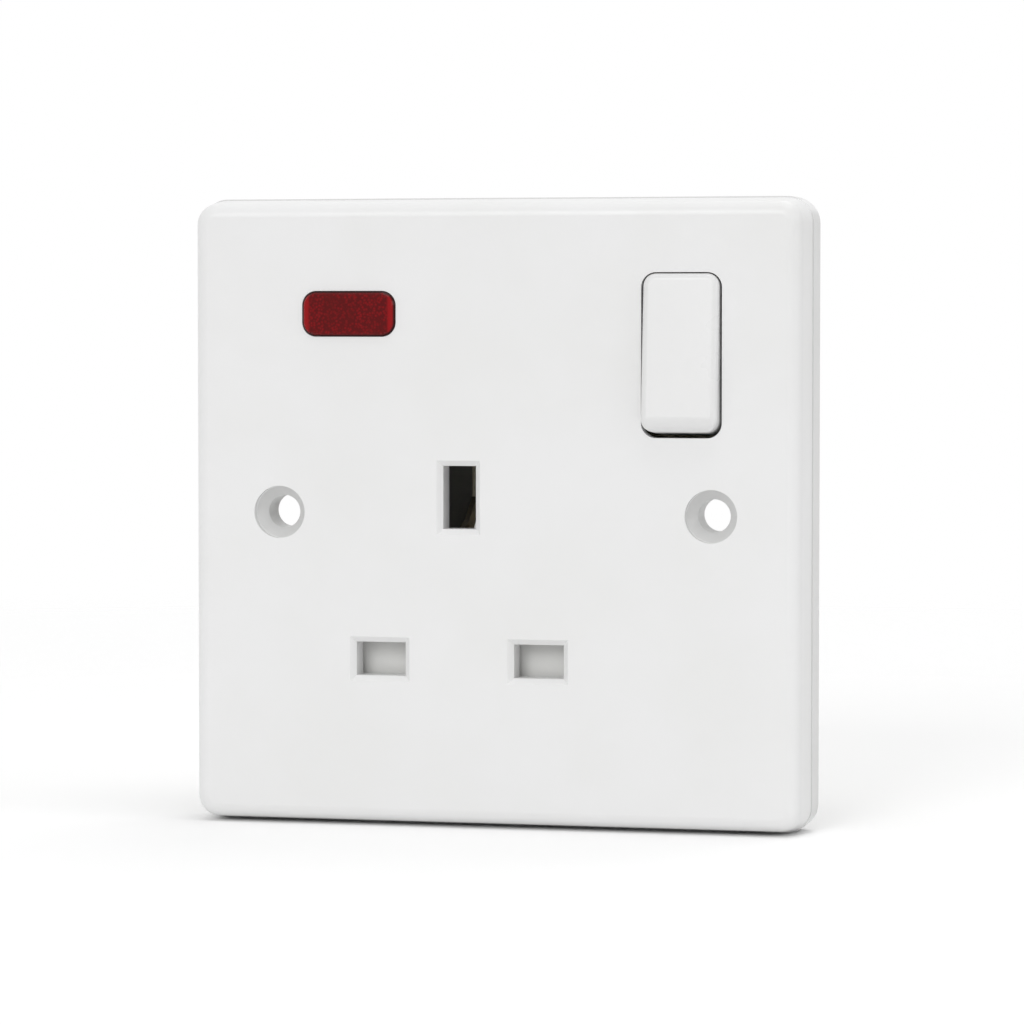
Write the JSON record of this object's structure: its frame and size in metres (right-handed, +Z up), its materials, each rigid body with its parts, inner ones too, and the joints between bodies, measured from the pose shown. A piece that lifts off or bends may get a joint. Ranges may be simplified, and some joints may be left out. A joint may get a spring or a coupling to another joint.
{
  "type": "switched socket outlet",
  "caption": "Flush wall socket outlet with a tilting rocker switch, a shuttered set of flat-pin slots and a red indicator lens, with its full working inside.",
  "frame": {"origin": "centre of the square plate, midway between the two fixing holes, in the plane where the plate's rim meets the wall", "axes": "+X to the right and +Z up as seen from the front; the front faces -Y and the body behind the wall plane is on +Y"},
  "size_m": [0.086, 0.0289, 0.086],
  "materials": {
    "plate": "moulded, semi-gloss white",
    "housing": "moulded, satin white",
    "rocker": "moulded, semi-gloss white",
    "shutter": "moulded, pale grey",
    "plunger": "moulded, natural nylon",
    "lens": "clear red, stippled inside",
    "bulb": "clear",
    "resistor": "lacquered",
    "lead": "sleeved",
    "brass": "machined",
    "strip": "pressed, nickel-washed",
    "silver": "silver button",
    "spring": "drawn wire",
    "screw": "plated"
  },
  "bodies": {
    "plate": {"front_plate": "plate", "rear_housing": "housing", "fixed_contact": "strip", "fixed_contact_tip": "silver", "line_contact": "strip", "neutral_contact": "strip", "earth_contact": "strip", "shutter_spring": "spring", "lamp_lens": "lens", "neon_lamp": "bulb", "lamp_resistor": "resistor", "lamp_bridge_lead": "lead", "lamp_line_lead": "lead", "lamp_neutral_lead": "lead", "neutral_terminal": "brass", "earth_terminal": "brass", "line_terminal": "brass", "neutral_terminal_screw": "screw", "earth_terminal_screw": "screw", "line_terminal_screw": "screw", "assembly_screw_1": "screw", "assembly_screw_2": "screw", "assembly_screw_3": "screw"},
    "rocker": {"rocker": "rocker", "rocker_spring": "spring"},
    "plunger": {"rocker_plunger": "plunger"},
    "blade": {"moving_contact": "strip", "moving_contact_tip": "silver"},
    "shutter": {"shutter": "shutter"}
  },
  "joints": [
    {"name": "rocker_tilt", "type": "hinge", "parent": "plate", "child": "rocker", "pos_m": [0.02607, -0.0076, 0.02162], "axis": [1, 0, 0], "range_deg": [0, 10]},
    {"name": "blade_rock", "type": "hinge", "parent": "plate", "child": "blade", "pos_m": [0.02607, 0.0023, 0.02162], "axis": [1, 0, 0], "range_deg": [-13, 0]},
    {"name": "plunger_slide", "type": "slide", "parent": "rocker", "child": "plunger", "axis": [0, 0.9962, -0.0872], "range_m": [-0.0008, 0], "stiffness_N_per_m": 400, "springref_m": 0.002, "deforming": ["rocker_spring"]},
    {"name": "shutter_slide", "type": "slide", "parent": "plate", "child": "shutter", "axis": [0, 0, -1], "range_m": [0, 0.0056], "stiffness_N_per_m": 60, "springref_m": -0.004, "deforming": ["shutter_spring"]}
  ],
  "couplings": [
    {"joint": "blade_rock", "follows": "rocker_tilt", "ratio": -1.3}
  ]
}
